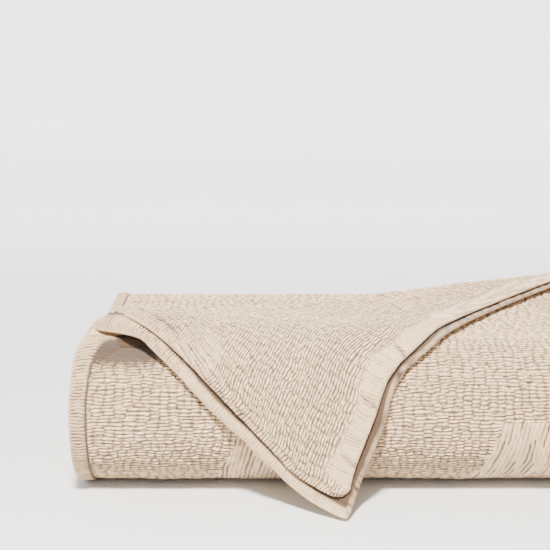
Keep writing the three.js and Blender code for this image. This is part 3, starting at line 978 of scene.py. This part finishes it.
def woven_pattern(tree, place):
    """Dashes of the weave and ribs of the hems, for cloth whose mesh is too coarse for them."""
    warp = node(tree, "ShaderNodeTexNoise", Scale=0.06, Detail=2.0)
    tree.links.new(place, warp.inputs["Vector"])
    shifted = tree.nodes.new("ShaderNodeVectorMath")
    shifted.operation = "MULTIPLY_ADD"
    tree.links.new(warp.outputs["Color"], shifted.inputs[0])
    shifted.inputs[1].default_value = (7.0, 4.5, 0.0)
    tree.links.new(place, shifted.inputs[2])
    brick = node(tree, "ShaderNodeTexBrick", Scale=1.0, Mortar_Size=1.1, Mortar_Smooth=1.0,
                 Brick_Width=14.0, Row_Height=DASH_PITCH)
    brick.offset = 0.5
    brick.offset_frequency = 3
    tree.links.new(shifted.outputs[0], brick.inputs["Vector"])
    raised = math_node(tree, "SUBTRACT", 1.0, brick.outputs["Fac"])
    split = tree.nodes.new("ShaderNodeSeparateXYZ")
    tree.links.new(place, split.inputs[0])
    hem = split.outputs["Z"]
    ribs = node(tree, "ShaderNodeTexWave", Scale=0.085, Distortion=1.2, Detail=1.0)
    ribs.bands_direction = "Y"
    tree.links.new(place, ribs.inputs["Vector"])
    woven = math_node(tree, "MULTIPLY", raised, math_node(tree, "SUBTRACT", 1.0, hem, clamp=True))
    return math_node(tree, "MULTIPLY_ADD", ribs.outputs["Fac"], hem, woven)


def yarn_weave(tree, place):
    """Two crossing sets of uneven threads with fuzz, and the fuzz alone."""
    threads = []
    for direction, scale in (("X", 0.19), ("Y", 0.17)):
        wave = node(tree, "ShaderNodeTexWave", Scale=scale, Distortion=1.6, Detail=2.0, Detail_Scale=0.35)
        wave.bands_direction = direction
        tree.links.new(place, wave.inputs["Vector"])
        threads.append(wave.outputs["Fac"])
    crossed = math_node(tree, "MULTIPLY", threads[0], threads[1])
    fuzz = node(tree, "ShaderNodeTexNoise", Scale=0.9, Detail=4.0, Roughness=0.65)
    tree.links.new(place, fuzz.inputs["Vector"])
    weave = math_node(tree, "ADD", math_node(tree, "MULTIPLY", crossed, 0.6), fuzz.outputs["Fac"])
    return weave, fuzz.outputs["Fac"]


def cloth_material():
    """Matt cotton with painted shade in the weave's creases, and the yarn's fine relief as bump."""
    material = bpy.data.materials.new("woven_cotton")
    material.use_nodes = True
    tree = material.node_tree
    tree.nodes.clear()
    output = tree.nodes.new("ShaderNodeOutputMaterial")
    shader = tree.nodes.new("ShaderNodeBsdfPrincipled")
    tree.links.new(shader.outputs[0], output.inputs[0])
    shader.inputs["Roughness"].default_value = 0.92
    shader.inputs["Specular IOR Level"].default_value = 0.22
    shader.inputs["Sheen Weight"].default_value = 0.18
    shader.inputs["Sheen Roughness"].default_value = 0.55

    place = attribute(tree, "cloth_place", "Vector")
    light = attribute(tree, "cloth_painted_light", "Fac")
    fine = attribute(tree, "cloth_fine", "Fac")
    plain = math_node(tree, "SUBTRACT", 1.0, fine, clamp=True)
    woven = woven_pattern(tree, place)
    # On cloth without real relief, the dash and rib pattern sets where painted shade falls
    shown = math_node(tree, "MULTIPLY", plain, math_node(tree, "MULTIPLY_ADD", woven, 0.46, 0.8))
    level = math_node(tree, "MULTIPLY", light, math_node(tree, "ADD", fine, shown))
    weave, fuzz = yarn_weave(tree, place)

    height = math_node(tree, "MULTIPLY_ADD", woven, math_node(tree, "MULTIPLY", plain, 1.4),
                       math_node(tree, "MULTIPLY", weave, 0.85))
    height = math_node(tree, "MULTIPLY_ADD", light, math_node(tree, "MULTIPLY", fine, 3.0), height)
    bump = node(tree, "ShaderNodeBump", Strength=0.9, Distance=0.001)
    tree.links.new(height, bump.inputs["Height"])
    tree.links.new(bump.outputs[0], shader.inputs["Normal"])

    # Colour: slightly uneven yarn, with painted shade in the creases
    broad = node(tree, "ShaderNodeTexNoise", Scale=0.016, Detail=2.0)
    tree.links.new(place, broad.inputs["Vector"])
    yarn = mix_color(tree, broad.outputs["Fac"], linear(*CLOTH_WARM), linear(*CLOTH_PALE))
    speck = math_node(tree, "MULTIPLY_ADD", fuzz, 0.5, -0.18, clamp=True)
    yarn = mix_color(tree, speck, yarn, linear(*CLOTH_DEEP))
    # Painted shade: the lower the painted light level, the more of the crease colour
    crease_painted_shade = math_node(tree, "MULTIPLY_ADD", level, -1.75, 1.24, clamp=True)
    colour = mix_color(tree, crease_painted_shade, yarn, linear(*CREASE_PAINTED_SHADE))
    tree.links.new(colour, shader.inputs["Base Color"])
    return material


cotton = cloth_material()
for piece in (inner, top_run, third, outer, outer_top, second, lower, upper):
    piece.data.materials.append(cotton)


# Floor, background and light, in metres
FLOOR_FLAT = 9.0
FLOOR_CURVE = 3.0
FLOOR_HIGH = 14.0
FLOOR_SIDES = 72
FLOOR_TONE = (0.7, 0.7, 0.7, 1.0)
WHITE = (1.0, 1.0, 1.0, 1.0)
WORLD_LIGHT = 0.3

# Glow of the floor: where it starts, where it is full, and its strength there
GLOW_BEHIND = (0.1, 2.6, 1.9)
GLOW_AROUND = (1.5, 9.0, 0.25)

KEY_PLACE = (-0.25, -1.35, 2.15)
KEY_TARGET = (-0.05, -0.1, 0.1)
KEY_SIZE = 0.3
KEY_POWER = 262.0
KEY_TINT = (1.0, 0.985, 0.955)


def floor_bowl():
    """Flat floor that curves up into a round wall."""
    profile = [(0.5, 0.0), (3.0, 0.0), (FLOOR_FLAT, 0.0)]
    profile += [(FLOOR_FLAT + FLOOR_CURVE * math.sin(a), FLOOR_CURVE - FLOOR_CURVE * math.cos(a))
                for a in np.linspace(0.05, math.pi / 2, 24)]
    profile += [(FLOOR_FLAT + FLOOR_CURVE, FLOOR_HIGH)]
    turns = [2 * math.pi * k / FLOOR_SIDES for k in range(FLOOR_SIDES)]
    verts = [(0.0, 0.0, 0.0)] + [(r * math.cos(a), r * math.sin(a), z) for r, z in profile for a in turns]
    faces = [(0, 1 + k, 1 + (k + 1) % FLOOR_SIDES) for k in range(FLOOR_SIDES)]
    for j in range(len(profile) - 1):
        here, after = 1 + j * FLOOR_SIDES, 1 + (j + 1) * FLOOR_SIDES
        for k in range(FLOOR_SIDES):
            following = (k + 1) % FLOOR_SIDES
            faces.append((here + k, after + k, after + following, here + following))
    mesh = bpy.data.meshes.new("floor")
    mesh.from_pydata(verts, [], faces)
    mesh.polygons.foreach_set("use_smooth", np.ones(len(faces), bool))
    return mesh


def glow(tree, value, start, full, strength):
    """Glow that rises smoothly with a value."""
    made = tree.nodes.new("ShaderNodeMapRange")
    made.interpolation_type = "SMOOTHSTEP"
    for name, number in (("From Min", start), ("From Max", full), ("To Min", 0.0), ("To Max", strength)):
        made.inputs[name].default_value = number
    tree.links.new(value, made.inputs["Value"])
    return made.outputs[0]


def floor_material():
    """Pale floor that glows behind the object and far from it."""
    material = bpy.data.materials.new("pale_floor")
    material.use_nodes = True
    tree = material.node_tree
    shader = tree.nodes["Principled BSDF"]
    shader.inputs["Base Color"].default_value = FLOOR_TONE
    shader.inputs["Roughness"].default_value = 0.9
    shader.inputs["Emission Color"].default_value = WHITE
    place = tree.nodes.new("ShaderNodeNewGeometry").outputs["Position"]
    split = tree.nodes.new("ShaderNodeSeparateXYZ")
    tree.links.new(place, split.inputs[0])
    far = tree.nodes.new("ShaderNodeVectorMath")
    far.operation = "LENGTH"
    tree.links.new(place, far.inputs[0])
    behind = glow(tree, split.outputs["Y"], *GLOW_BEHIND)
    around = glow(tree, far.outputs["Value"], *GLOW_AROUND)
    tree.links.new(math_node(tree, "ADD", behind, around), shader.inputs["Emission Strength"])
    return material


def key_light():
    """Light from above and in front, a little to the left."""
    data = bpy.data.lights.new("key", "AREA")
    data.shape = "SQUARE"
    data.size = KEY_SIZE
    data.energy = KEY_POWER
    data.color = KEY_TINT
    light = bpy.data.objects.new("key", data)
    light.location = KEY_PLACE
    away = np.array(KEY_TARGET) - np.array(KEY_PLACE)
    pan = math.atan2(away[1], away[0])
    tilt = math.atan2(math.hypot(away[0], away[1]), -away[2])
    light.rotation_euler = (tilt, 0, pan - math.pi / 2)
    bpy.context.scene.collection.objects.link(light)


floor = bpy.data.objects.new("floor", floor_bowl())
floor.data.materials.append(floor_material())
bpy.context.scene.collection.objects.link(floor)

world = bpy.data.worlds.new("studio")
world.use_nodes = True
world.node_tree.nodes["Background"].inputs["Color"].default_value = WHITE
world.node_tree.nodes["Background"].inputs["Strength"].default_value = WORLD_LIGHT
bpy.context.scene.world = world
key_light()
